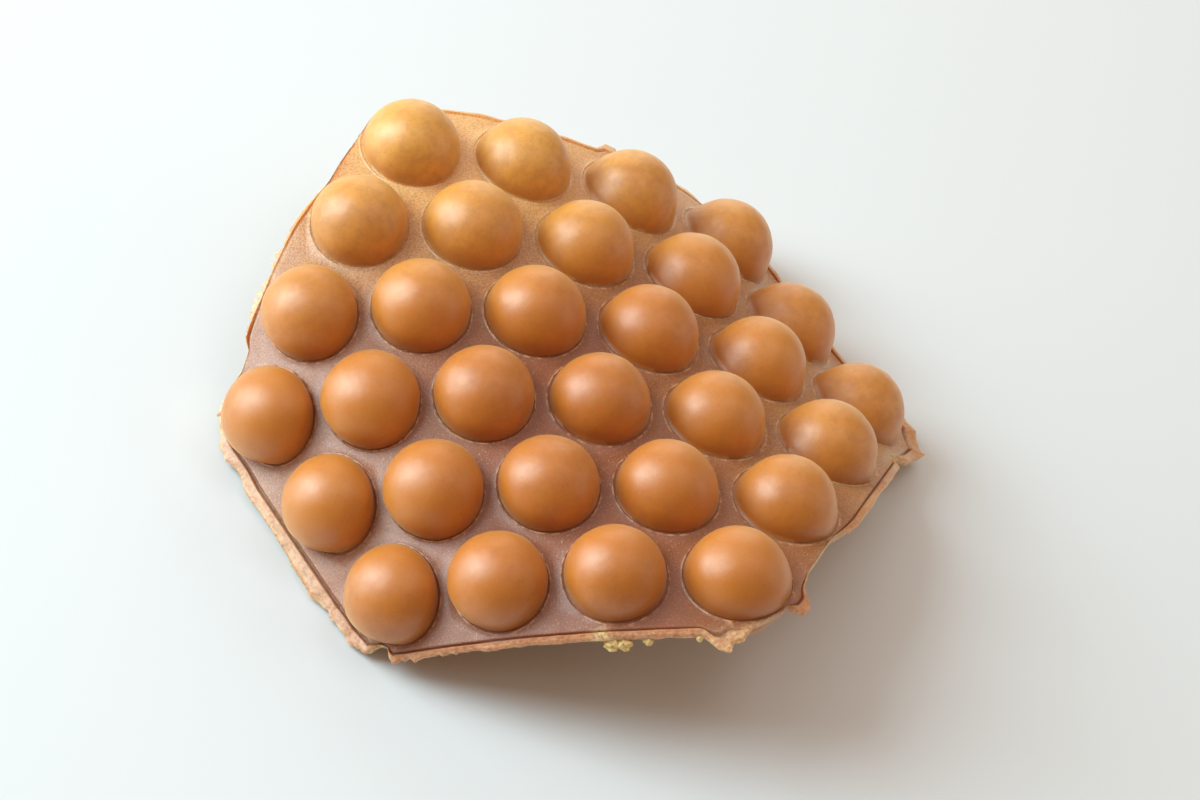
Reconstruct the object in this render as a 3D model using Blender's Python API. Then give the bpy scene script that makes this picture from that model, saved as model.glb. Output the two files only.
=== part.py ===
"""A bubble waffle: thirty balls of baked batter in one thin web, bent into a low arch.

The waffle comes out of its pan flat, as a hexagon of 3-4-5-6-5-4-3 balls, and is bent while it is
soft. So it is built flat here, one cell for each ball, trimmed to the pan's outline, given its rim,
and then bent. +X runs across the lines of balls, -Y runs along them to the front corner, +Z is up.
"""

import math
import random

import bmesh
import bpy
import numpy as np
from mathutils import Matrix

MM = 0.001

# The pan: what the flat waffle measures.
PITCH = 34.0 * MM
BALL_RADIUS = 14.6 * MM
BALL_HEIGHT = 14.5 * MM
WEB = 2.6 * MM
LINES = (3, 4, 5, 6, 5, 4, 3)
LINE_SPACING = PITCH * math.sqrt(3) / 2
CELL_CORNER = PITCH / math.sqrt(3)

# The rim, as distances outside the outer balls' centres. Its steps are the share of the strip
# between the two reaches, and the height above the web's upper face.
EDGE_REACH = 15.0 * MM
RIM_REACH = 19.2 * MM
RIM_LEAST = 0.4 * MM
RIM_STEPS = (
    (0.34, -0.8 * MM),
    (0.52, 0.1 * MM),
    (0.85, -0.1 * MM),
    (1.00, -1.4 * MM),
    (0.80, -2.5 * MM),
    (0.00, -WEB),
)

# Where the rim is torn or has run over: bearing and half width in degrees, change of reach.
# Bearings turn from the right side (0) to the front corner (90), the left side (180) and the back.
RIM_MARKS = (
    (20, 14, 4.0 * MM),
    (32, 2.5, -4.0 * MM),
    (73, 15, -4.0 * MM),
    (84, 2.3, 5.0 * MM),
    (89, 6, -4.6 * MM),
    (97, 5, 1.8 * MM),
    (99, 2.2, 3.2 * MM),
    (157.5, 2, -3.0 * MM),
    (168, 14, 4.2 * MM),
    (184, 20, 5.0 * MM),
    (201, 8, 2.5 * MM),
    (212, 5, -4.0 * MM),
    (262, 26, -4.6 * MM),
    (313, 3, 5.5 * MM),
    (326, 11, 4.6 * MM),
)
MARK_BLUNTNESS = 1.3
RAGGED_SIZE = 0.5 * MM
RAGGED_TURNS = (37, 61)

# The bend: how the slope grows from the middle line, in radians at 100 mm across, and what makes
# the waffle's sides and ends differ, each as its size 100 mm from the middle.
BEND_UNIT = 100 * MM
SLOPE_GROWTH = (0.66, -0.24, 0.21)
SPREAD_TO_RIGHT = 0.10
SPREAD_ALONG = 0.024
LINES_BOW = 3.1 * MM
ENDS_LIFT = 2.1 * MM
TWIST = 1.0 * MM
RIGHT_ENDS_LIFT = 4.2 * MM
FRONT_LIFT = 3.3 * MM
BEND_STEPS = 60

# Past the outer balls the web levels out again, as where it was pressed to the table.
FLARE_START = 8 * MM
FLARE_WIDTH = 18 * MM
FLARE_SHARE = 0.85

# A ball keeps its round form from this height above the web upwards.
STIFF_HEIGHT = 5 * MM

# How it lies on the table: turned about the lines of balls, then about the cross direction.
LEAN = math.radians(-0.25)
NOD = math.radians(0.3)
FLAT_SPOT_DEPTH = 0.8 * MM

# The mesh.
SEGMENTS = 18
UPPER_RINGS = (90, 66, 43, 21, 0)
LOWER_RINGS = (90, 60, 30, 0)
UNEVEN_RADIUS = 0.012
UNEVEN_HEIGHT = 0.03
SEED = 30
WELD = 0.1 * MM
TRIM_WELD = 0.25 * MM

CRUST_COLOUR = (0.52, 0.19, 0.06, 1.0)
CRUST_ROUGHNESS = 0.42
SHARP_EDGE = math.radians(50)


def ball_sites():
    """The balls' centres in the flat waffle, line by line from left to right."""
    sites = []
    for line, count in enumerate(LINES):
        x = (line - (len(LINES) - 1) / 2) * LINE_SPACING
        for i in range(count):
            sites.append((x, ((count - 1) / 2 - i) * PITCH))
    return sites


def web_sites(balls):
    """The cells of bare web round the balls, which fill the notches of the outline."""
    found = []
    for x, y in balls:
        for turn in range(6):
            angle = math.radians(30 + 60 * turn)
            near = (x + PITCH * math.cos(angle), y + PITCH * math.sin(angle))
            if all(math.dist(near, other) > PITCH / 2 for other in balls + found):
                found.append(near)
    return found


def outline_sides():
    """The hexagon's sides and its cut corners in turn, each as its outward direction and how far out
    its outermost ball's centre is."""
    sides = []
    for turn in range(12):
        angle = math.radians(30 * turn)
        normal = (math.cos(angle), math.sin(angle))
        sides.append((normal, max(x * normal[0] + y * normal[1] for x, y in ball_sites())))
    return sides


def to_hexagon(verts):
    """Moves a ring of vertices round the origin onto the edge of one cell."""
    for v in verts:
        off_side = (math.degrees(math.atan2(v.co.y, v.co.x)) % 60) - 30
        v.co.xy *= PITCH / 2 / math.cos(math.radians(off_side)) / v.co.xy.length


def add_ball_cell(bm, x, y, radius, height, rings):
    """Half a ball and its cell of web, spun from a profile."""
    first = len(bm.verts)
    profile = []
    for ring in rings:
        angle = math.radians(ring)
        profile.append(bm.verts.new((radius * math.cos(angle), 0, height * math.sin(angle))))
    profile.append(bm.verts.new((CELL_CORNER, 0, 0)))
    edges = [bm.edges.new(pair) for pair in zip(profile, profile[1:])]
    bmesh.ops.spin(
        bm, geom=profile + edges, axis=(0, 0, 1), angle=math.tau, steps=SEGMENTS, use_merge=True
    )
    made = list(bm.verts)[first:]
    to_hexagon([v for v in made if v.co.xy.length > PITCH / 2])
    bmesh.ops.translate(bm, verts=made, vec=(x, y, 0))


def add_web_cell(bm, x, y):
    """One cell of bare web, turned so that every third vertex is on a corner."""
    made = bmesh.ops.create_circle(
        bm,
        cap_ends=True,
        cap_tris=True,
        segments=SEGMENTS,
        radius=CELL_CORNER,
        matrix=Matrix.Rotation(math.radians(30), 4, "Z"),
    )["verts"]
    to_hexagon([v for v in made if v.co.xy.length > PITCH / 4])
    bmesh.ops.translate(bm, verts=made, vec=(x, y, 0))


def half_waffle(rings):
    """The flat waffle's upper half, with its web at z = 0, trimmed just outside its outer balls."""
    bm = bmesh.new()
    draw = random.Random(SEED)
    balls = ball_sites()
    for x, y in balls:
        radius = BALL_RADIUS * (1 + UNEVEN_RADIUS * draw.uniform(-1, 1))
        height = BALL_HEIGHT * (1 + UNEVEN_HEIGHT * draw.uniform(-1, 1))
        add_ball_cell(bm, x, y, radius, height, rings)
    for x, y in web_sites(balls):
        add_web_cell(bm, x, y)
    bmesh.ops.remove_doubles(bm, verts=bm.verts, dist=WELD)
    for normal, line in outline_sides():
        out = line + EDGE_REACH
        bmesh.ops.bisect_plane(
            bm,
            geom=list(bm.verts) + list(bm.edges) + list(bm.faces),
            plane_co=(normal[0] * out, normal[1] * out, 0),
            plane_no=(normal[0], normal[1], 0),
            clear_outer=True,
        )
    trimmed = [v for v in bm.verts if v.is_boundary]
    bmesh.ops.remove_doubles(bm, verts=trimmed, dist=TRIM_WELD)
    return bm


def rim_reach(x, y):
    """How far the rim stands outside the outer balls' centres, on this bearing."""
    bearing = math.degrees(math.atan2(-y, x))
    reach = RIM_REACH
    for at, half_width, change in RIM_MARKS:
        off = abs((bearing - at + 180) % 360 - 180) / half_width
        if off < 1:
            reach += change * min(1, MARK_BLUNTNESS * (1 + math.cos(math.pi * off)) / 2)
    for turns in RAGGED_TURNS:
        reach += RAGGED_SIZE * math.sin(math.radians(turns * bearing + turns))
    return max(reach, EDGE_REACH + RIM_LEAST)


def add_rim(bm):
    """Extrudes the trimmed edge outwards through the groove, round the rim and back underneath."""
    sides = outline_sides()
    trimmed_at = bm.verts.layers.float_vector.new("trimmed at")
    for v in bm.verts:
        v[trimmed_at] = v.co
    for share, height in RIM_STEPS:
        edges = [e for e in bm.edges if e.is_boundary]
        made = bmesh.ops.extrude_edge_only(bm, edges=edges)["geom"]
        for v in made:
            if isinstance(v, bmesh.types.BMVert):
                x, y, _ = v[trimmed_at]
                line = max((x * n[0] + y * n[1] - at, at) for n, at in sides)[1]
                out = share * (rim_reach(x, y) - EDGE_REACH)
                scale = 1 + out / (line + EDGE_REACH)
                v.co = (x * scale, y * scale, height)


def flat_waffle():
    """The closed flat waffle: two halves and the rim that joins them."""
    bm = half_waffle(UPPER_RINGS)
    add_rim(bm)
    lower = half_waffle(LOWER_RINGS)
    bmesh.ops.scale(lower, verts=lower.verts, vec=(1, 1, -1))
    bmesh.ops.translate(lower, verts=lower.verts, vec=(0, 0, -WEB))
    half = bpy.data.meshes.new("lower half")
    lower.to_mesh(half)
    lower.free()
    bm.from_mesh(half)
    bpy.data.meshes.remove(half)
    bmesh.ops.remove_doubles(bm, verts=bm.verts, dist=WELD)
    bmesh.ops.recalc_face_normals(bm, faces=bm.faces)
    return bm


def slope_at(across):
    """The web's slope in radians, at this distance across the bent waffle."""
    edge = LINE_SPACING * (len(LINES) - 1) / 2 + FLARE_START
    left = -edge * (1 - SPREAD_TO_RIGHT * edge / BEND_UNIT)
    right = edge * (1 + SPREAD_TO_RIGHT * edge / BEND_UNIT)
    inner = np.clip(across, left, right)
    a = inner / BEND_UNIT
    first, second, third = SLOPE_GROWTH
    levelled = np.clip(np.abs(across - inner) / FLARE_WIDTH, 0, 1) * FLARE_SHARE
    return (first * a + second * a**2 + third * a**3) * (1 - levelled)


def bent(flat):
    """Where points of the flat waffle go: x and y in the flat web, z above its middle."""
    x, y, z = flat.T
    s, t = x / BEND_UNIT, -y / BEND_UNIT
    across = x * (1 + SPREAD_TO_RIGHT * s)
    along = -y * (1 + SPREAD_ALONG * s) + LINES_BOW * s**2
    steps = across[:, None] * (np.arange(BEND_STEPS) + 0.5) / BEND_STEPS
    slopes = slope_at(steps)
    slope = slope_at(across)
    lift = ENDS_LIFT * t**2 + TWIST * s * t + RIGHT_ENDS_LIFT * s * t**2 + FRONT_LIFT * t**3
    tip = (2 * ENDS_LIFT * t + TWIST * s + 2 * RIGHT_ENDS_LIFT * s * t + 3 * FRONT_LIFT * t**2)
    return np.stack(
        [
            across * np.cos(slopes).mean(axis=1) + (z + lift) * np.sin(slope),
            -along + z * tip / BEND_UNIT,
            -across * np.sin(slopes).mean(axis=1) + (z + lift) * np.cos(slope),
        ],
        axis=1,
    )


def ball_frames(centres):
    """The place of each ball in the bent web, and its three directions there."""
    step = 0.5 * MM
    place = bent(centres)
    towards_x = bent(centres + (step, 0, 0)) - bent(centres - (step, 0, 0))
    towards_y = bent(centres + (0, step, 0)) - bent(centres - (0, step, 0))
    up = np.cross(towards_x, towards_y)
    up /= np.linalg.norm(up, axis=1, keepdims=True)
    towards_x /= np.linalg.norm(towards_x, axis=1, keepdims=True)
    return place, np.stack([towards_x, np.cross(up, towards_x), up], axis=1)


def bend(bm):
    """Bends the flat waffle. The web follows the bend, and the balls keep their round form."""
    flat = np.array([v.co for v in bm.verts], dtype=float)
    flat[:, 2] += WEB / 2
    centres = np.array([(x, y, 0) for x, y in ball_sites()])
    place, directions = ball_frames(centres)
    offsets = flat[:, None, :] - centres
    nearest = np.argmin(np.hypot(offsets[..., 0], offsets[..., 1]), axis=1)
    offset = offsets[np.arange(len(flat)), nearest]
    rigid = place[nearest] + np.einsum("ni,nij->nj", offset, directions[nearest])
    stiff = np.clip((np.abs(flat[:, 2]) - WEB / 2) / STIFF_HEIGHT, 0, 1)[:, None]
    points = bent(flat) * (1 - stiff) + rigid * stiff
    for v, co in zip(bm.verts, points):
        v.co = co


def lay_down(bm):
    """Turns the waffle as it lies, presses its lowest points flat and puts them at z = 0."""
    turn = Matrix.Rotation(NOD, 3, "X") @ Matrix.Rotation(LEAN, 3, "Y")
    bmesh.ops.rotate(bm, verts=bm.verts, matrix=turn)
    table = min(v.co.z for v in bm.verts) + FLAT_SPOT_DEPTH
    cut = bmesh.ops.bisect_plane(
        bm,
        geom=list(bm.verts) + list(bm.edges) + list(bm.faces),
        plane_co=(0, 0, table),
        plane_no=(0, 0, -1),
        clear_outer=True,
    )["geom_cut"]
    bmesh.ops.holes_fill(bm, edges=[e for e in cut if isinstance(e, bmesh.types.BMEdge)])
    low = [min(v.co[i] for v in bm.verts) for i in range(3)]
    high = [max(v.co[i] for v in bm.verts) for i in range(3)]
    middle = (-(low[0] + high[0]) / 2, -(low[1] + high[1]) / 2, -low[2])
    bmesh.ops.translate(bm, verts=bm.verts, vec=middle)


def crust_material():
    """Baked egg batter: a thin golden brown crust with a dull shine."""
    material = bpy.data.materials.new("baked batter")
    material.use_nodes = True
    shader = material.node_tree.nodes["Principled BSDF"]
    shader.inputs["Base Color"].default_value = CRUST_COLOUR
    shader.inputs["Roughness"].default_value = CRUST_ROUGHNESS
    shader.inputs["Metallic"].default_value = 0.0
    material.diffuse_color = CRUST_COLOUR
    return material


def add_waffle():
    """The whole waffle as one object."""
    bm = flat_waffle()
    bend(bm)
    lay_down(bm)
    mesh = bpy.data.meshes.new("bubble_waffle")
    bm.to_mesh(mesh)
    bm.free()
    mesh.shade_smooth()
    mesh.set_sharp_from_angle(angle=SHARP_EDGE)
    mesh.materials.append(crust_material())
    waffle = bpy.data.objects.new("bubble_waffle", mesh)
    bpy.context.scene.collection.objects.link(waffle)
    return waffle


def main():
    for old in list(bpy.data.objects):
        bpy.data.objects.remove(old, do_unlink=True)
    add_waffle()


main()
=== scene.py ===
"""The looks of a bubble waffle: baked egg batter with browned balls, a satin web and a torn rim.

The waffle is built flat, as it comes out of its pan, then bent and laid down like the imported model.
+X runs across the lines of balls, -Y runs along them to the front corner, +Z is up.
"""

import math
import random

import bmesh
import bpy
import numpy as np
from bpy.props import FloatProperty, FloatVectorProperty, IntProperty, PointerProperty
from mathutils import Matrix, Vector, noise


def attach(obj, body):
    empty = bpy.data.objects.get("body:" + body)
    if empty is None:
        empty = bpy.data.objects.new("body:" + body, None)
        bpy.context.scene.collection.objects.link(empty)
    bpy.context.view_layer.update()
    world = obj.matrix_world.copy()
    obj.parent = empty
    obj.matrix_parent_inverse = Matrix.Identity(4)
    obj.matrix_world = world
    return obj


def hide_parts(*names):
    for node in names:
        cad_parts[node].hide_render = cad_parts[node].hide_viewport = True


bl_info = {
    "name": "Bubble waffle",
    "version": (1, 0, 0),
    "blender": (4, 5, 0),
    "location": "3D View > Sidebar > Waffle",
    "description": "Builds a bubble waffle of baked egg batter, its crumbs and a pale table",
    "category": "Add Mesh",
}

MM = 0.001
NODE = "bubble_waffle"

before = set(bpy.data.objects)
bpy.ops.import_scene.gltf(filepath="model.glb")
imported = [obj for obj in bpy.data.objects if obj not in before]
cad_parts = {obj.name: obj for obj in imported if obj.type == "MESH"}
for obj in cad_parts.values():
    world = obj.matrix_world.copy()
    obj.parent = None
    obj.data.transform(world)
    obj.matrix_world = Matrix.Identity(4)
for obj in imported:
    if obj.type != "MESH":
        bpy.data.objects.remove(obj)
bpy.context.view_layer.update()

# The pan's pattern: how many balls each line has, from the left side to the right.
LINES = (3, 4, 5, 6, 5, 4, 3)

# The flat rim's section, from the trimmed web outwards over the groove and the ridge, and back
# underneath: the share of the strip between the two reaches, and the height above the web's face.
RIM_STEPS = (
    (0.26, 0.0 * MM),
    (0.35, 0.0 * MM),
    (0.39, -0.12 * MM),
    (0.42, -0.75 * MM),
    (0.49, -0.80 * MM),
    (0.53, -0.15 * MM),
    (0.57, 0.26 * MM),
    (0.62, 0.30 * MM),
    (0.70, 0.10 * MM),
    (0.80, 0.0 * MM),
    (0.88, -0.08 * MM),
    (0.95, -0.30 * MM),
    (1.00, -1.00 * MM),
    (0.98, -1.80 * MM),
    (0.88, -2.35 * MM),
    (0.50, -2.55 * MM),
    (0.0, -2.60 * MM),
)

# The step at which the section turns underneath.
UNDERSIDE_FROM = 12

# The share at which the groove's strip ends, its deepest point, and the strip's greatest width.
GROOVE_TO = 0.62
GROOVE_DEPTH = 0.8 * MM
GROOVED_STRIP = 9.0 * MM

# How far outside the outer balls' middles the web is trimmed, and how much further the rim reaches
# at least. Longer pieces of the trimmed edge are cut, so that the torn rim can follow its grain.
EDGE_REACH = 15.0 * MM
RIM_LEAST = 0.4 * MM
EDGE_PIECE = 1.2 * MM
EDGE_CUTS = 2

# Where the rim is torn or has run over: bearing and half width in degrees, change of reach.
# Bearings turn from the right side (0) to the front corner (90), the left side (180) and the back.
RIM_MARKS = (
    (20, 14, 4.0 * MM),
    (32, 2.5, -4.0 * MM),
    (73, 15, -4.0 * MM),
    (84, 2.8, 2.8 * MM),
    (89, 6, -4.6 * MM),
    (93.5, 3, -2.2 * MM),
    (97, 5, 1.8 * MM),
    (99, 2.2, 3.2 * MM),
    (157.5, 2, -3.0 * MM),
    (168, 14, 4.2 * MM),
    (184, 20, 5.0 * MM),
    (201, 8, 2.5 * MM),
    (212, 5, -4.0 * MM),
    (262, 26, -4.6 * MM),
    (313, 3, 5.5 * MM),
    (326, 11, 4.6 * MM),
)

# How much flatter than a wave a mark's middle is.
MARK_BLUNTNESS = 1.3

# The grains of the torn edge and their shares, and how ragged it is everywhere.
RAGGED_GRAINS = ((6 * MM, 1.2), (2.2 * MM, 0.9), (0.9 * MM, 0.6))
RAGGED_LEAST = 0.35

# Where pale crumb shows on the torn rim: bearing, half width in degrees, and how much.
TORN_AT = (
    (32, 3, 0.6),
    (96, 8, 0.5),
    (118, 3, 0.9),
    (158, 4, 0.5),
    (185, 22, 0.2),
    (207, 10, 0.8),
    (225, 16, 0.45),
)

# Where the rim is ragged, more than elsewhere: bearing, half width in degrees, and how much.
RAGGED_AT = ((160, 36, 1.7), (196, 14, 1.8), (226, 15, 4.5), (45, 40, 0.3), (318, 20, 1.0))

# Where the outer balls and web turn golden, partly a yellower crust and partly painted light where the
# light falls strongest: bearing, half width in degrees, and how much.
GOLDEN_AT = ((20, 95, 0.42), (-80, 85, 1.0), (185, 45, 0.12))

# Where the rim's groove fades: bearing, half width in degrees, and how much of it is gone.
SMOOTH_AT = ((270, 75, 0.75), (232, 26, 0.95), (93, 9, 0.95))

# A wide flap of the rim hangs a little lower than the web: the reach where it starts, the width
# over which it sinks, how far, and the share of the rim that stays level inside it.
FLAP_FROM = 20.5 * MM
FLAP_WIDTH = 4.0 * MM
FLAP_DROP = 0.9 * MM
FLAP_LEVEL_TO = 0.4

# The rim's soft waves, and the pale line along its very edge.
RIM_WAVE = 0.45 * MM
WAVE_GRAIN = 7 * MM
EDGE_PALENESS = 0.15
EDGE_PALE_FROM = 0.9

# The golden tone starts this far inside the trimmed edge, and is full after this width.
GOLDEN_INSIDE = 50 * MM
GOLDEN_WIDTH = 60 * MM

# The bend, as in the model: slope in radians and the other terms as their size 100 mm out.
BEND_UNIT = 100 * MM
SLOPE_GROWTH = (0.66, -0.24, 0.21)
SPREAD_TO_RIGHT = 0.10
SPREAD_ALONG = 0.024
LINES_BOW = 3.1 * MM
ENDS_LIFT = 2.1 * MM
TWIST = 1.0 * MM
RIGHT_ENDS_LIFT = 4.2 * MM
FRONT_LIFT = 3.3 * MM
BEND_STEPS = 60

# Outside the outer balls the web levels off: where that starts, over what width, and how much. A
# ball moves as one from this height above the web.
FLARE_START = 8 * MM
FLARE_WIDTH = 18 * MM
FLARE_SHARE = 0.85
STIFF_HEIGHT = 5 * MM

# How it lies: its turn about the lines of balls and across them, then where its middle stands.
LEAN = math.radians(-0.25)
NOD = math.radians(0.3)
MIDDLE_AT = Vector((-13.13, 1.19, 41.37)) * MM

# What is noted at each vertex for the crust's colours.
FIELDS = ("rim", "groove", "torn", "crown", "tone", "golden", "lip")

# How much the balls differ from one another, as a share of their size.
SEED = 30
UNEVEN_RADIUS = 0.012
UNEVEN_HEIGHT = 0.03

# Vertices nearer than this are one: everywhere, and along the trimmed edge.
WELD = 0.1 * MM
TRIM_WELD = 0.25 * MM

# The thin lip in the web, outside each ball's foot, and the rings of vertices that carry it.
LIP_OUT = 0.75 * MM
LIP_WIDTH = 0.28 * MM
LIP_STEEPNESS = 2
LIP_UP_TO = 1 * MM
LIP_RINGS = (0.40 * MM, 0.60 * MM, 0.75 * MM, 0.90 * MM, 1.30 * MM)

# The grain of the crust's soft lumps and of the crumbs, and how far a crumb strays from a sphere.
# The fractal takes its fall-off, the step from one layer's grain to the next, and the layers.
LUMP_GRAIN = 9 * MM
CRUMB_GRAIN = 1.1 * MM
CRUMB_ROUGHNESS = 0.35
CRUMB_FINENESS = 4
FRACTAL = (1.0, 2.0, 3)

# Crumbs stuck to the rim: bearing, distance outside the outer balls, height above the web, size.
CRUMBS = (
    (115.8, 18.4 * MM, -4.1 * MM, 4.6 * MM),
    (114, 18.6 * MM, -3.8 * MM, 4.4 * MM),
    (109.8, 18.4 * MM, -3.2 * MM, 3.0 * MM),
    (101.5, 18.8 * MM, -2.0 * MM, 2.4 * MM),
)

# Edges that bend more than this stay sharp.
CRUST_SHARP = math.radians(85)
CRUMB_SHARP = math.radians(60)

# The shades that the main colours are mixed with, from the painted shade at the ball's foot to the
# room's light.
BALL_FOOT_PAINTED_SHADE = "#8E3E0A"
BALL_PITS = "#8A4412"
WEB_PITS = "#7E4522"
WEB_PAINTED_GLINTS = "#E8BC92"
LIP_PAINTED_HIGHLIGHT = "#EDB48A"
RIM_BROWNED = "#AE7248"
GROOVE_PAINTED_SHADE = "#74381A"
CRUMB_HOLES = "#DDB468"
SHEEN_TINT = "#FFE6AC"
ROOM_TINT = "#FFCF9E"

# The lights: name, the stage's setting for its power, where it stands as the camera sees it (to the
# right, up, and towards the camera), how far off, how wide, and its colour.
LIGHTS = (
    ("window", "window", (-0.58, 0.60, 0.56), 1.8, 1.2, "#E6FBFF"),
    ("pale wall", "wall", (-0.86, 0.46, 0.18), 1.8, 1.3, "#E8FCFF"),
    ("ceiling", "ceiling", (0.2674, 0.6028, 0.7517), 1.6, 2.0, "#FDFEFF"),
    ("far wall", "far_wall", (0.10, 0.93, -0.32), 1.8, 1.6, "#FFFDF6"),
    ("right wall", "right_wall", (0.95, 0.15, 0.10), 1.8, 1.4, "#FFF6E6"),
    ("lamp", "lamp", (0.50, 0.63, 0.60), 1.2, 0.45, "#FFFDFA"),
)

# The table's half width, and the hair's breadth that it lies under the waffle.
TABLE_HALF = 3.0
TABLE_GAP = 0.05 * MM

# The photograph's view of the object.
VIEW_AZIMUTH = math.radians(-53.0)
VIEW_ELEVATION = math.radians(48.74)
VIEW_ROLL = math.radians(23.92)
VIEW_DISTANCE = 1015.6 * MM
VIEW_TARGET = Vector((-0.74, -6.20, 26.20)) * MM
LENS = 105.0
SENSOR = 36.0


def linear(hex_colour):
    """An sRGB hex value, as the linear colour that Blender's nodes take."""
    parts = [int(hex_colour[i : i + 2], 16) / 255 for i in (1, 3, 5)]
    return tuple(p / 12.92 if p <= 0.04045 else ((p + 0.055) / 1.055) ** 2.4 for p in parts) + (1.0,)


class WaffleShape(bpy.types.PropertyGroup):
    """Sizes of the flat waffle, as it comes out of its pan."""

    pitch: FloatProperty(
        name="Ball spacing",
        description="From one ball's middle to the next",
        default=34.0 * MM,
        unit="LENGTH",
    )
    ball_radius: FloatProperty(
        name="Ball radius",
        description="Half a ball's width in the web's plane",
        default=14.6 * MM,
        unit="LENGTH",
    )
    ball_height: FloatProperty(
        name="Ball height",
        description="How high a ball stands on each side of the web",
        default=14.5 * MM,
        unit="LENGTH",
    )
    web: FloatProperty(
        name="Web thickness",
        description="Thickness of the baked sheet between the balls",
        default=2.6 * MM,
        unit="LENGTH",
    )
    rim_reach: FloatProperty(
        name="Rim reach",
        description="How far the rim stands outside the outer balls' middles",
        default=19.2 * MM,
        unit="LENGTH",
    )
    ragged: FloatProperty(
        name="Ragged edge",
        description="How far the rim's edge strays in and out",
        default=0.5 * MM,
        unit="LENGTH",
    )
    lip: FloatProperty(
        name="Crease lip",
        description="Height of the fine lip in the web round each ball",
        default=0.22 * MM,
        unit="LENGTH",
    )
    lumps: FloatProperty(
        name="Lumps",
        description="How far the crust stands in and out of the pan's smooth form",
        default=0.16 * MM,
        unit="LENGTH",
    )
    segments: IntProperty(
        name="Segments", description="Vertices round one ball, a multiple of six", default=60
    )
    rings: IntProperty(name="Rings", description="Rings from a ball's top to the web", default=15)


class WaffleLooks(bpy.types.PropertyGroup):
    """Colours and gloss of the baked batter."""

    ball: FloatVectorProperty(
        name="Ball crust",
        description="The browned crust of the balls",
        subtype="COLOR",
        size=4,
        default=linear("#C2700E"),
    )
    browned: FloatVectorProperty(
        name="Browned patches",
        description="The crust where it baked darkest",
        subtype="COLOR",
        size=4,
        default=linear("#A0520E"),
    )
    # The lighter part of this colour is painted light, where the light falls strongest at the right
    # and back.
    golden_ball: FloatVectorProperty(
        name="Golden ball crust",
        description="The yellower crust of the balls towards the right and back edges",
        subtype="COLOR",
        size=4,
        default=linear("#DFA03E"),
    )
    web: FloatVectorProperty(
        name="Web",
        description="The web in the middle and towards the left",
        subtype="COLOR",
        size=4,
        default=linear("#944C22"),
    )
    # The lighter part of this colour is painted light, where the light falls strongest at the right
    # and back.
    golden: FloatVectorProperty(
        name="Golden web",
        description="The paler, yellower web towards the right and back edges",
        subtype="COLOR",
        size=4,
        default=linear("#F2BE7A"),
    )
    rim: FloatVectorProperty(
        name="Rim",
        description="The paler, thinner batter that ran out round the edge",
        subtype="COLOR",
        size=4,
        default=linear("#CC9264"),
    )
    crumb: FloatVectorProperty(
        name="Crumb",
        description="The pale inside of the batter where it is torn",
        subtype="COLOR",
        size=4,
        default=linear("#FBE6AC"),
    )
    roughness: FloatProperty(
        name="Roughness",
        description="Roughness of the balls' crust",
        default=0.48,
        subtype="FACTOR",
    )


class WaffleStage(bpy.types.PropertyGroup):
    """The table and its light."""

    table: FloatVectorProperty(
        name="Table",
        description="The pale table",
        subtype="COLOR",
        size=4,
        default=linear("#E1E7ED"),
    )
    window: FloatProperty(
        name="Window light",
        description="Power of the large soft light from the back left, in watts",
        default=30.0,
    )
    wall: FloatProperty(
        name="Pale wall",
        description="Power of the wide weak light from the left, as a white wall gives, in watts",
        default=26.0,
    )
    ceiling: FloatProperty(
        name="Ceiling light",
        description="Power of the wide light overhead, in watts",
        default=4.5,
    )
    far_wall: FloatProperty(
        name="Far wall",
        description="Power in watts of the light thrown back by the wall behind",
        default=9.0,
    )
    right_wall: FloatProperty(
        name="Right wall",
        description="Power in watts of the weak light thrown back by the wall at the right",
        default=4.5,
    )
    lamp: FloatProperty(
        name="Lamp",
        description="Power of the small light overhead, in watts",
        default=0.8,
    )
    room: FloatProperty(
        name="Room light", description="Strength of the light from all round", default=0.30
    )


def near(bearing, at, half_width):
    """1 at this bearing, falling smoothly to 0 at its half width."""
    off = abs((bearing - at + 180) % 360 - 180) / half_width
    return (1 + math.cos(math.pi * off)) / 2 if off < 1 else 0.0


def bearing_of(x, y):
    """The bearing of a place in the flat waffle, in degrees."""
    return math.degrees(math.atan2(-y, x))


def ball_sites(shape):
    """The balls' centres in the flat waffle, line by line from left to right."""
    sites = []
    for line, count in enumerate(LINES):
        x = (line - (len(LINES) - 1) / 2) * shape.pitch * math.sqrt(3) / 2
        for i in range(count):
            sites.append((x, ((count - 1) / 2 - i) * shape.pitch))
    return sites


def web_sites(shape):
    """The cells of bare web round the balls, which fill the notches of the outline."""
    balls, found = ball_sites(shape), []
    for x, y in balls:
        for turn in range(6):
            angle = math.radians(30 + 60 * turn)
            site = (x + shape.pitch * math.cos(angle), y + shape.pitch * math.sin(angle))
            if all(math.dist(site, other) > shape.pitch / 2 for other in balls + found):
                found.append(site)
    return found


def outline_sides(shape):
    """Each side and cut corner of the pan's hexagon: its outward direction, and how far out its
    outermost ball's centre is."""
    sides = []
    for turn in range(12):
        angle = math.radians(30 * turn)
        normal = (math.cos(angle), math.sin(angle))
        sides.append((normal, max(x * normal[0] + y * normal[1] for x, y in ball_sites(shape))))
    return sides


def to_hexagon(verts, pitch):
    """Moves a ring of vertices round the origin onto the edge of one cell."""
    for v in verts:
        off_side = (math.degrees(math.atan2(v.co.y, v.co.x)) % 60) - 30
        v.co.xy *= pitch / 2 / math.cos(math.radians(off_side)) / v.co.xy.length


def join(bm, piece):
    """Moves all that is in one bmesh into another."""
    mesh = bpy.data.meshes.new("joined")
    piece.to_mesh(mesh)
    piece.free()
    bm.from_mesh(mesh)
    bpy.data.meshes.remove(mesh)


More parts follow.
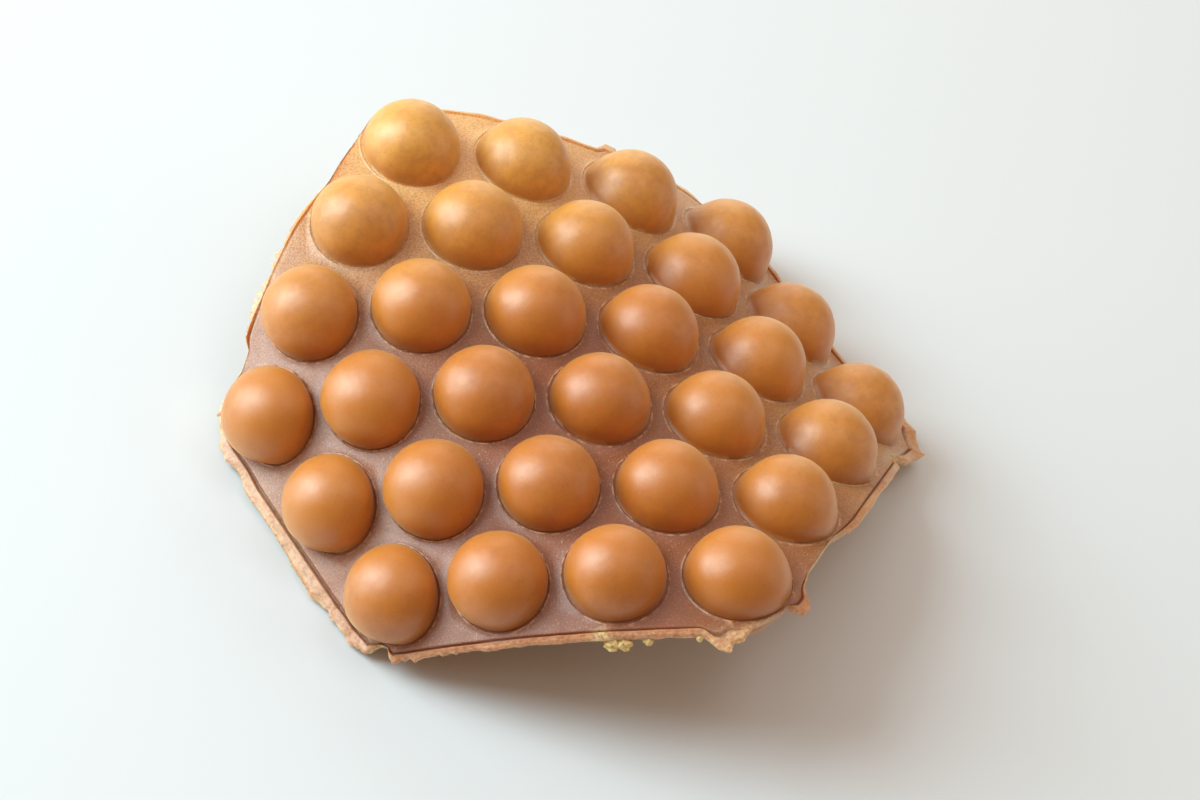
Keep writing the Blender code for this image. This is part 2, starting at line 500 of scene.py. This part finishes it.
def put_in_order(bm):
    """The same mesh made anew, with its vertices sorted by place and the rest by their vertices. A
    cut leaves them in another order each run, and what a weld keeps depends on that order."""
    for rank, v in enumerate(sorted(bm.verts, key=lambda v: tuple(v.co))):
        v.index = rank
    bm.verts.sort()
    for parts in (bm.edges, bm.faces):
        for rank, part in enumerate(sorted(parts, key=lambda p: sorted(v.index for v in p.verts))):
            part.index = rank
        parts.sort()
    ordered = bmesh.new()
    join(ordered, bm)
    return ordered


def add_ball_cell(bm, shape, x, y, radius, height, rings):
    """Half a ball and its cell of web, spun from a profile."""
    cell = bmesh.new()
    profile = []
    for ring in range(rings + 1):
        angle = math.radians(90 * (1 - ring / rings))
        profile.append(cell.verts.new((radius * math.cos(angle), 0, height * math.sin(angle))))
    for out in LIP_RINGS:
        profile.append(cell.verts.new((radius + out, 0, 0)))
    profile.append(cell.verts.new((shape.pitch / math.sqrt(3), 0, 0)))
    edges = [cell.edges.new(pair) for pair in zip(profile, profile[1:])]
    bmesh.ops.spin(
        cell,
        geom=profile + edges,
        axis=(0, 0, 1),
        angle=math.tau,
        steps=shape.segments,
        use_merge=True,
    )
    to_hexagon([v for v in cell.verts if v.co.xy.length > shape.pitch / 2], shape.pitch)
    bmesh.ops.translate(cell, verts=cell.verts, vec=(x, y, 0))
    join(bm, cell)


def add_web_cell(bm, shape, x, y):
    """One cell of bare web, with its corners on vertices."""
    cell = bmesh.new()
    bmesh.ops.create_circle(
        cell,
        cap_ends=True,
        cap_tris=True,
        segments=shape.segments,
        radius=shape.pitch / math.sqrt(3),
    )
    to_hexagon([v for v in cell.verts if v.co.xy.length > shape.pitch / 4], shape.pitch)
    bmesh.ops.translate(cell, verts=cell.verts, vec=(x, y, 0))
    join(bm, cell)


def half_waffle(shape, rings):
    """The flat waffle's upper half, with its web at z = 0, trimmed just outside its outer balls."""
    bm = bmesh.new()
    draw = random.Random(SEED)
    for x, y in ball_sites(shape):
        radius = shape.ball_radius * (1 + UNEVEN_RADIUS * draw.uniform(-1, 1))
        height = shape.ball_height * (1 + UNEVEN_HEIGHT * draw.uniform(-1, 1))
        add_ball_cell(bm, shape, x, y, radius, height, rings)
    for x, y in web_sites(shape):
        add_web_cell(bm, shape, x, y)
    bmesh.ops.remove_doubles(bm, verts=bm.verts, dist=WELD)
    for normal, line in outline_sides(shape):
        out = line + EDGE_REACH
        bmesh.ops.bisect_plane(
            bm,
            geom=list(bm.verts) + list(bm.edges) + list(bm.faces),
            plane_co=(normal[0] * out, normal[1] * out, 0),
            plane_no=(normal[0], normal[1], 0),
            clear_outer=True,
        )
    bm = put_in_order(bm)
    trimmed = [v for v in bm.verts if v.is_boundary]
    bmesh.ops.remove_doubles(bm, verts=trimmed, dist=TRIM_WELD)
    long_pieces = [e for e in bm.edges if e.is_boundary and e.calc_length() > EDGE_PIECE]
    bmesh.ops.subdivide_edges(bm, edges=long_pieces, cuts=EDGE_CUTS)
    return bm


def rim_reach(shape, x, y):
    """How far the rim stands outside the outer balls' centres on this bearing: as if smooth, and
    as it is torn."""
    bearing = bearing_of(x, y)
    smooth = shape.rim_reach
    for at, half, change in RIM_MARKS:
        smooth += change * min(1, MARK_BLUNTNESS * near(bearing, at, half))
    torn = smooth
    tear = RAGGED_LEAST + max(near(bearing, at, half) * much for at, half, much in RAGGED_AT)
    for grain, share in RAGGED_GRAINS:
        torn += shape.ragged * tear * share * noise.noise(Vector((x, y, grain)) / grain)
    least = EDGE_REACH + RIM_LEAST
    return max(smooth, least), max(torn, least)


def add_rim(bm, shape):
    """Extrudes the trimmed edge outwards through the groove, round the rim and back underneath."""
    sides = outline_sides(shape)
    trimmed_at = bm.verts.layers.float_vector["trimmed at"]
    rim = bm.verts.layers.float["rim"]
    torn = bm.verts.layers.float["torn"]
    groove = bm.verts.layers.float["groove"]
    for v in bm.verts:
        v[trimmed_at] = v.co
    for step, (share, height) in enumerate(RIM_STEPS):
        on_top = step < UNDERSIDE_FROM
        grooved = on_top and share < GROOVE_TO
        edges = [e for e in bm.edges if e.is_boundary]
        made = bmesh.ops.extrude_edge_only(bm, edges=edges)["geom"]
        for v in made:
            if isinstance(v, bmesh.types.BMVert):
                x, y, _ = v[trimmed_at]
                bearing = bearing_of(x, y)
                line = max((x * n[0] + y * n[1] - at, at) for n, at in sides)[1]
                smooth, reach = rim_reach(shape, x, y)
                inner = min(smooth - EDGE_REACH, GROOVED_STRIP) * min(share, GROOVE_TO)
                outer = max(share - GROOVE_TO, 0) / (1 - GROOVE_TO)
                out = inner + (reach - EDGE_REACH - inner) * outer
                scale = 1 + out / (line + EDGE_REACH)
                flap = min(max((reach - FLAP_FROM) / FLAP_WIDTH, 0), 1) * share
                drop = FLAP_DROP * flap if on_top and share > FLAP_LEVEL_TO else 0
                faded = max(near(bearing, at, half) * much for at, half, much in SMOOTH_AT)
                wave = noise.noise(Vector((x, y, 0)) / WAVE_GRAIN) * RIM_WAVE * share
                top = height * (1 - faded * grooved)
                v.co = (x * scale, y * scale, top - drop + wave)
                v[rim] = share
                v[groove] = max(-top / GROOVE_DEPTH, 0) if grooved else 0
                tear = max(near(bearing, at, half) * much for at, half, much in TORN_AT)
                v[torn] = min(1, share * (tear + EDGE_PALENESS * (share > EDGE_PALE_FROM)))


def flat_waffle(shape):
    """The closed flat waffle: two halves and the rim that joins them."""
    bm = half_waffle(shape, shape.rings)
    bm.verts.layers.float_vector.new("trimmed at")
    for name in FIELDS:
        bm.verts.layers.float.new(name)
    add_rim(bm, shape)
    unseen_rings = shape.rings * 2 // 3
    lower = half_waffle(shape, unseen_rings)
    bmesh.ops.scale(lower, verts=lower.verts, vec=(1, 1, -1))
    bmesh.ops.translate(lower, verts=lower.verts, vec=(0, 0, -shape.web))
    join(bm, lower)
    bmesh.ops.remove_doubles(bm, verts=bm.verts, dist=WELD)
    bmesh.ops.translate(bm, verts=bm.verts, vec=(0, 0, shape.web / 2))
    bmesh.ops.recalc_face_normals(bm, faces=bm.faces)
    return bm


def mark_and_roughen(bm, shape):
    """Notes where the crust is ball, web or golden edge, and gives it its lip and its lumps."""
    sides = outline_sides(shape)
    draw = random.Random(SEED + 1)
    sites = ball_sites(shape)
    tones = [draw.uniform(-1, 1) for _ in sites]
    centres = np.array(sites)
    layers = bm.verts.layers.float
    bm.normal_update()
    moved = []
    for v in bm.verts:
        x, y, z = v.co
        away = np.hypot(centres[:, 0] - x, centres[:, 1] - y)
        nearest = int(np.argmin(away))
        above = abs(z) - shape.web / 2
        v[layers["crown"]] = min(max(above / shape.ball_height, 0), 1)
        v[layers["tone"]] = tones[nearest]
        inside = max(x * n[0] + y * n[1] - at for n, at in sides) + EDGE_REACH
        edge = min(max((inside + GOLDEN_INSIDE) / GOLDEN_WIDTH, 0), 1)
        bearing = bearing_of(x, y)
        turned = sum(near(bearing, at, half) * much for at, half, much in GOLDEN_AT)
        v[layers["golden"]] = min(1, edge * turned)
        off_lip = (away[nearest] - shape.ball_radius - LIP_OUT) / LIP_WIDTH
        in_web = v[layers["rim"]] == 0 and above < LIP_UP_TO
        on_lip = math.exp(-(off_lip**2) * LIP_STEEPNESS) * in_web
        v[layers["lip"]] = on_lip
        lump = noise.fractal(v.co / LUMP_GRAIN, *FRACTAL) * shape.lumps
        moved.append(v.co + v.normal * (shape.lip * on_lip + lump))
    for v, co in zip(bm.verts, moved):
        v.co = co


def slope_at(across, pitch):
    """The web's slope in radians, at this distance across the bent waffle."""
    edge = pitch * math.sqrt(3) / 2 * (len(LINES) - 1) / 2 + FLARE_START
    left = -edge * (1 - SPREAD_TO_RIGHT * edge / BEND_UNIT)
    right = edge * (1 + SPREAD_TO_RIGHT * edge / BEND_UNIT)
    inner = np.clip(across, left, right)
    a = inner / BEND_UNIT
    first, second, third = SLOPE_GROWTH
    levelled = np.clip(np.abs(across - inner) / FLARE_WIDTH, 0, 1) * FLARE_SHARE
    return (first * a + second * a**2 + third * a**3) * (1 - levelled)


def bent(flat, pitch):
    """Where points of the flat waffle go: x and y in the flat web, z above its middle."""
    x, y, z = flat.T
    s, t = x / BEND_UNIT, -y / BEND_UNIT
    across = x * (1 + SPREAD_TO_RIGHT * s)
    along = -y * (1 + SPREAD_ALONG * s) + LINES_BOW * s**2
    slopes = slope_at(across[:, None] * (np.arange(BEND_STEPS) + 0.5) / BEND_STEPS, pitch)
    slope = slope_at(across, pitch)
    lift = ENDS_LIFT * t**2 + TWIST * s * t + RIGHT_ENDS_LIFT * s * t**2 + FRONT_LIFT * t**3
    tip = 2 * ENDS_LIFT * t + TWIST * s + 2 * RIGHT_ENDS_LIFT * s * t + 3 * FRONT_LIFT * t**2
    return np.stack(
        [
            across * np.cos(slopes).mean(axis=1) + (z + lift) * np.sin(slope),
            -along + z * tip / BEND_UNIT,
            -across * np.sin(slopes).mean(axis=1) + (z + lift) * np.cos(slope),
        ],
        axis=1,
    )


def ball_frames(centres, pitch):
    """The place of each ball in the bent web, and its three directions there."""
    step = 0.5 * MM
    ahead = bent(centres + (step, 0, 0), pitch) - bent(centres - (step, 0, 0), pitch)
    aside = bent(centres + (0, step, 0), pitch) - bent(centres - (0, step, 0), pitch)
    up = np.cross(ahead, aside)
    up /= np.linalg.norm(up, axis=1, keepdims=True)
    ahead /= np.linalg.norm(ahead, axis=1, keepdims=True)
    return bent(centres, pitch), np.stack([ahead, np.cross(up, ahead), up], axis=1)


def bend_and_lay(flat, shape):
    """Bends flat points: the web follows the bend, the balls keep their round form. Then lays them."""
    centres = np.array([(x, y, 0) for x, y in ball_sites(shape)])
    place, directions = ball_frames(centres, shape.pitch)
    offsets = flat[:, None, :] - centres
    nearest = np.argmin(np.hypot(offsets[..., 0], offsets[..., 1]), axis=1)
    offset = offsets[np.arange(len(flat)), nearest]
    rigid = place[nearest] + np.einsum("ni,nij->nj", offset, directions[nearest])
    stiff = np.clip((np.abs(flat[:, 2]) - shape.web / 2) / STIFF_HEIGHT, 0, 1)[:, None]
    points = bent(flat, shape.pitch) * (1 - stiff) + rigid * stiff
    turn = np.array(Matrix.Rotation(NOD, 3, "X") @ Matrix.Rotation(LEAN, 3, "Y"))
    return points @ turn.T + np.array(MIDDLE_AT)


def press_flat(bm):
    """Flattens the lowest balls where they rest on the table."""
    cut = bmesh.ops.bisect_plane(
        bm,
        geom=list(bm.verts) + list(bm.edges) + list(bm.faces),
        plane_co=(0, 0, 0),
        plane_no=(0, 0, -1),
        clear_outer=True,
    )["geom_cut"]
    bmesh.ops.holes_fill(bm, edges=[e for e in cut if isinstance(e, bmesh.types.BMEdge)])


def add_node(tree, kind, settings=None, inputs=None):
    """Adds one shader node, with its settings, and its inputs as values or as links. An input is
    given by its number where several share a name."""
    made = tree.nodes.new(kind)
    for name, value in (settings or {}).items():
        setattr(made, name, value)
    for key, value in (inputs or {}).items():
        if isinstance(value, bpy.types.NodeSocket):
            tree.links.new(value, made.inputs[key])
        else:
            made.inputs[key].default_value = value
    return made


def new_material(name):
    """A new material, its tree of nodes, and its surface shader."""
    material = bpy.data.materials.new(name)
    material.use_nodes = True
    return material, material.node_tree, material.node_tree.nodes["Principled BSDF"]


def crust_material(looks):
    """Baked egg batter: a thin crust, browned on the balls, satin from the pan's greased surface. It
    shines softly, glows a little where it is thin, and turns paler at a low angle."""
    material, tree, shader = new_material("baked egg batter crust")
    place = add_node(tree, "ShaderNodeTexCoord").outputs["Object"]
    fields = {}
    for name in FIELDS:
        fields[name] = add_node(tree, "ShaderNodeAttribute", {"attribute_name": name}).outputs["Fac"]

    def texture(size, detail, rough=0.55):
        return add_node(
            tree,
            "ShaderNodeTexNoise",
            inputs={"Vector": place, "Scale": 1 / size, "Detail": detail, "Roughness": rough},
        ).outputs["Fac"]

    def spread(value, low, high, out_low=0.0, out_high=1.0):
        return add_node(
            tree,
            "ShaderNodeMapRange",
            {"interpolation_type": "SMOOTHSTEP"},
            {"Value": value, 1: low, 2: high, 3: out_low, 4: out_high},
        ).outputs["Result"]

    def maths(operation, a, b):
        return add_node(tree, "ShaderNodeMath", {"operation": operation}, {0: a, 1: b}).outputs[0]

    def blend(factor, a, b):
        return add_node(
            tree,
            "ShaderNodeMix",
            {"data_type": "RGBA"},
            {"Factor": factor, 6: a, 7: b},
        ).outputs[2]

    patches = texture(22 * MM, 2)
    mottle = texture(3.0 * MM, 4)
    grain = texture(0.55 * MM, 2, 0.6)
    painted_glints = texture(0.5 * MM, 1)
    broken_lip_highlight = texture(2.4 * MM, 2)
    rim_mottle = texture(1.3 * MM, 3)
    tears = texture(1.1 * MM, 4)

    # The balls: golden brown, with painted shade round the foot, browner in soft patches, each with
    # its own tone.
    own_tone = maths("MULTIPLY", fields["tone"], 0.12)
    brown = maths("ADD", spread(patches, 0.40, 0.75, 0.0, 0.25), own_tone)
    brown = maths("ADD", brown, spread(mottle, 0.38, 0.66, -0.08, 0.14))
    # Towards the right and back edges the balls turn lighter and yellower: partly a yellower crust,
    # partly painted light.
    ball = blend(fields["golden"], tuple(looks.ball), tuple(looks.golden_ball))
    ball = blend(maths("MAXIMUM", brown, 0.0), ball, tuple(looks.browned))
    # Painted shade: the crust darkens from partway up each ball down to its foot at the web.
    ball = blend(spread(fields["crown"], 0.0, 0.45, 0.40, 0.0), ball, linear(BALL_FOOT_PAINTED_SHADE))
    ball = blend(spread(grain, 0.56, 0.70, 0.0, 0.22), ball, linear(BALL_PITS))

    # The web: pinkish brown with fine dark pits and painted glints, pale specks that stand in for its
    # sparkle, turning golden towards the right and back edges, partly as painted light, with a painted
    # highlight along the lip at the balls' feet.
    web = blend(fields["golden"], tuple(looks.web), tuple(looks.golden))
    dark = spread(fields["golden"], 0.0, 1.0, 0.70, 0.35)
    web = blend(maths("MULTIPLY", spread(grain, 0.42, 0.62), dark), web, linear(WEB_PITS))
    # Painted glints: pale specks standing in for the web's sparkle.
    web = blend(spread(painted_glints, 0.62, 0.74, 0.0, 0.40), web, linear(WEB_PAINTED_GLINTS))
    # Painted highlight: a pale, broken line along the lip at each ball's foot.
    lip_highlight = maths("MULTIPLY", fields["lip"], spread(broken_lip_highlight, 0.42, 0.64, 0.0, 0.75))
    web = blend(lip_highlight, web, linear(LIP_PAINTED_HIGHLIGHT))

    # The rim: paler where the batter ran out thin, with painted shade darkening its groove.
    rim = blend(spread(rim_mottle, 0.36, 0.62), linear(RIM_BROWNED), tuple(looks.rim))
    # The rim turns golden too towards the right and back, partly as painted light.
    rim = blend(maths("MULTIPLY", fields["golden"], 0.55), rim, tuple(looks.golden))
    web = blend(spread(fields["rim"], 0.56, 0.66), web, rim)
    # Painted shade: the groove is darker the deeper it is.
    web = blend(spread(fields["groove"], 0.2, 0.9, 0.0, 0.85), web, linear(GROOVE_PAINTED_SHADE))
    crust = blend(spread(fields["crown"], 0.0, 0.06), web, ball)

    # The torn rim: pale crumb shows where the crust is broken.
    broken = maths("MULTIPLY", fields["torn"], spread(tears, 0.35, 0.60))
    colour = blend(broken, crust, tuple(looks.crumb))

    # The web and the rim are grainy from the pan, the balls only finely pitted.
    grainy = spread(fields["crown"], 0.0, 0.06, 1.0, 0.28)
    height = maths("ADD", maths("MULTIPLY", grain, 0.6), maths("MULTIPLY", mottle, 0.4))
    bump = add_node(
        tree,
        "ShaderNodeBump",
        inputs={"Strength": grainy, "Distance": 0.30 * MM, "Height": height},
    )
    tree.links.new(colour, shader.inputs["Base Color"])
    tree.links.new(bump.outputs["Normal"], shader.inputs["Normal"])
    tree.links.new(
        maths("ADD", spread(mottle, 0.3, 0.7, -0.05, 0.06), looks.roughness),
        shader.inputs["Roughness"],
    )
    shader.inputs["IOR"].default_value = 1.55
    shader.inputs["Subsurface Weight"].default_value = 0.5
    shader.inputs["Subsurface Radius"].default_value = (1.0, 0.35, 0.12)
    shader.inputs["Subsurface Scale"].default_value = 6 * MM
    shader.inputs["Sheen Weight"].default_value = 0.35
    shader.inputs["Sheen Roughness"].default_value = 0.45
    shader.inputs["Sheen Tint"].default_value = linear(SHEEN_TINT)
    shader.inputs["Coat Weight"].default_value = 0.9
    shader.inputs["Coat Roughness"].default_value = 0.46
    return material


def crumb_material(looks):
    """The waffle's soft inside, torn open: pale yellow, dull and full of small holes."""
    material, tree, shader = new_material("pale batter crumb")
    place = add_node(tree, "ShaderNodeTexCoord").outputs["Object"]
    holes = add_node(
        tree,
        "ShaderNodeTexNoise",
        inputs={"Vector": place, "Scale": 1 / (0.8 * MM), "Detail": 3.0},
    ).outputs["Fac"]
    colour = add_node(
        tree,
        "ShaderNodeMix",
        {"data_type": "RGBA"},
        {"Factor": holes, 6: tuple(looks.crumb), 7: linear(CRUMB_HOLES)},
    ).outputs[2]
    bump = add_node(
        tree, "ShaderNodeBump", inputs={"Strength": 0.8, "Distance": 0.3 * MM, "Height": holes}
    )
    tree.links.new(colour, shader.inputs["Base Color"])
    tree.links.new(bump.outputs["Normal"], shader.inputs["Normal"])
    shader.inputs["Roughness"].default_value = 0.8
    return material


def table_material(stage):
    """Pale satin lacquer on a table top."""
    material, _, shader = new_material("pale lacquered table")
    shader.inputs["Base Color"].default_value = tuple(stage.table)
    shader.inputs["Roughness"].default_value = 0.55
    return material


def finished(bm, name, material, smooth_to):
    """The bmesh as an object of its own at the origin, shaded smooth up to this angle."""
    mesh = bpy.data.meshes.new(name)
    bm.to_mesh(mesh)
    bm.free()
    mesh.shade_smooth()
    mesh.set_sharp_from_angle(angle=smooth_to)
    mesh.materials.append(material)
    made = bpy.data.objects.new(name, mesh)
    bpy.context.scene.collection.objects.link(made)
    return made


class WAFFLE_OT_batter(bpy.types.Operator):
    """Builds the baked waffle: balls, web and rim in one closed piece"""

    bl_idname = "waffle.batter"
    bl_label = "Baked waffle"

    def execute(self, context):
        shape = context.scene.waffle_shape
        bm = flat_waffle(shape)
        mark_and_roughen(bm, shape)
        points = bend_and_lay(np.array([v.co for v in bm.verts], dtype=float), shape)
        for v, co in zip(bm.verts, points):
            v.co = co
        press_flat(bm)
        bm = put_in_order(bm)
        bm.verts.layers.float_vector.remove(bm.verts.layers.float_vector["trimmed at"])
        crust = crust_material(context.scene.waffle_looks)
        waffle = finished(bm, "baked_waffle", crust, CRUST_SHARP)
        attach(waffle, "root")
        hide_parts(NODE)
        return {"FINISHED"}


class WAFFLE_OT_crumbs(bpy.types.Operator):
    """Builds the pale crumbs that stick to the torn rim"""

    bl_idname = "waffle.crumbs"
    bl_label = "Crumbs"

    def execute(self, context):
        shape = context.scene.waffle_shape
        bm = bmesh.new()
        for bearing, reach, height, size in CRUMBS:
            angle = math.radians(bearing)
            ahead = Vector((math.cos(angle), -math.sin(angle)))
            line = min(
                (at + reach) / (ahead.x * n[0] + ahead.y * n[1])
                for n, at in outline_sides(shape)
                if ahead.x * n[0] + ahead.y * n[1] > 0
            )
            flat = np.array([(ahead.x * line, ahead.y * line, height + shape.web / 2)])
            middle = Vector(bend_and_lay(flat, shape)[0])
            ball = bmesh.ops.create_icosphere(bm, subdivisions=CRUMB_FINENESS, radius=size / 2)
            for v in ball["verts"]:
                rough = noise.fractal((v.co + middle) / CRUMB_GRAIN, *FRACTAL)
                v.co = v.co * (1 + CRUMB_ROUGHNESS * rough) + middle
        crumb = crumb_material(context.scene.waffle_looks)
        crumbs = finished(bm, "rim_crumbs", crumb, CRUMB_SHARP)
        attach(crumbs, "root")
        return {"FINISHED"}


def view_axes():
    """The camera's right, up and backward directions, from its azimuth, elevation and roll."""
    a, e, r = VIEW_AZIMUTH, VIEW_ELEVATION, VIEW_ROLL
    back = Vector((math.sin(a) * math.cos(e), -math.cos(a) * math.cos(e), math.sin(e)))
    level = Vector((math.cos(a), math.sin(a), 0))
    upright = back.cross(level)
    right = level * math.cos(r) + upright * math.sin(r)
    return right, upright * math.cos(r) - level * math.sin(r), back


def add_light(name, towards, distance, size, power, colour):
    """A round soft light that shines on the waffle from this direction."""
    light = bpy.data.lights.new(name, "AREA")
    light.shape = "DISK"
    light.size = size
    light.energy = power
    light.color = colour[:3]
    made = bpy.data.objects.new(name, light)
    made.location = VIEW_TARGET + towards.normalized() * distance
    made.rotation_euler = towards.to_track_quat("Z", "Y").to_euler()
    bpy.context.scene.collection.objects.link(made)


class WAFFLE_OT_stage(bpy.types.Operator):
    """Builds the pale table, the lights and the photograph's camera"""

    bl_idname = "waffle.stage"
    bl_label = "Table, light and camera"

    def execute(self, context):
        stage = context.scene.waffle_stage
        bm = bmesh.new()
        under = Matrix.Translation((0, 0, -TABLE_GAP))
        bmesh.ops.create_grid(bm, x_segments=1, y_segments=1, size=TABLE_HALF, matrix=under)
        finished(bm, "table", table_material(stage), 0)

        right, up, back = view_axes()
        camera = bpy.data.cameras.new("photograph")
        camera.lens = LENS
        camera.sensor_width = SENSOR
        seen_from = bpy.data.objects.new("photograph", camera)
        turn = Matrix((right, up, back)).transposed().to_4x4()
        seen_from.matrix_world = Matrix.Translation(VIEW_TARGET + back * VIEW_DISTANCE) @ turn
        context.scene.collection.objects.link(seen_from)
        context.scene.camera = seen_from

        for name, setting, (rightwards, upwards, nearer), distance, size, colour in LIGHTS:
            towards = rightwards * right + upwards * up + nearer * back
            add_light(name, towards, distance, size, getattr(stage, setting), linear(colour))
        world = bpy.data.worlds.new("bright room")
        world.use_nodes = True
        sky = world.node_tree.nodes["Background"]
        sky.inputs["Color"].default_value = linear(ROOM_TINT)
        sky.inputs["Strength"].default_value = stage.room
        context.scene.world = world
        context.scene.view_settings.view_transform = "Standard"
        return {"FINISHED"}


class WAFFLE_PT_panel(bpy.types.Panel):
    """Lists the waffle's pieces, sizes and colours"""

    bl_label = "Bubble waffle"
    bl_idname = "WAFFLE_PT_panel"
    bl_space_type = "VIEW_3D"
    bl_region_type = "UI"
    bl_category = "Waffle"

    def draw(self, context):
        scene = context.scene
        for group, operators in (
            (scene.waffle_shape, (WAFFLE_OT_batter, WAFFLE_OT_crumbs)),
            (scene.waffle_looks, ()),
            (scene.waffle_stage, (WAFFLE_OT_stage,)),
        ):
            box = self.layout.box()
            for name in group.__annotations__:
                box.prop(group, name)
            for operator in operators:
                box.operator(operator.bl_idname)


GROUPS = {"waffle_shape": WaffleShape, "waffle_looks": WaffleLooks, "waffle_stage": WaffleStage}
CLASSES = (
    *GROUPS.values(),
    WAFFLE_OT_batter,
    WAFFLE_OT_crumbs,
    WAFFLE_OT_stage,
    WAFFLE_PT_panel,
)


def register():
    for cls in CLASSES:
        bpy.utils.register_class(cls)
    for name, group in GROUPS.items():
        setattr(bpy.types.Scene, name, PointerProperty(type=group))


def unregister():
    for name in GROUPS:
        delattr(bpy.types.Scene, name)
    for cls in reversed(CLASSES):
        bpy.utils.unregister_class(cls)


def main():
    register()
    bpy.ops.waffle.batter()
    bpy.ops.waffle.crumbs()
    bpy.ops.waffle.stage()


if __name__ == "__main__":
    main()
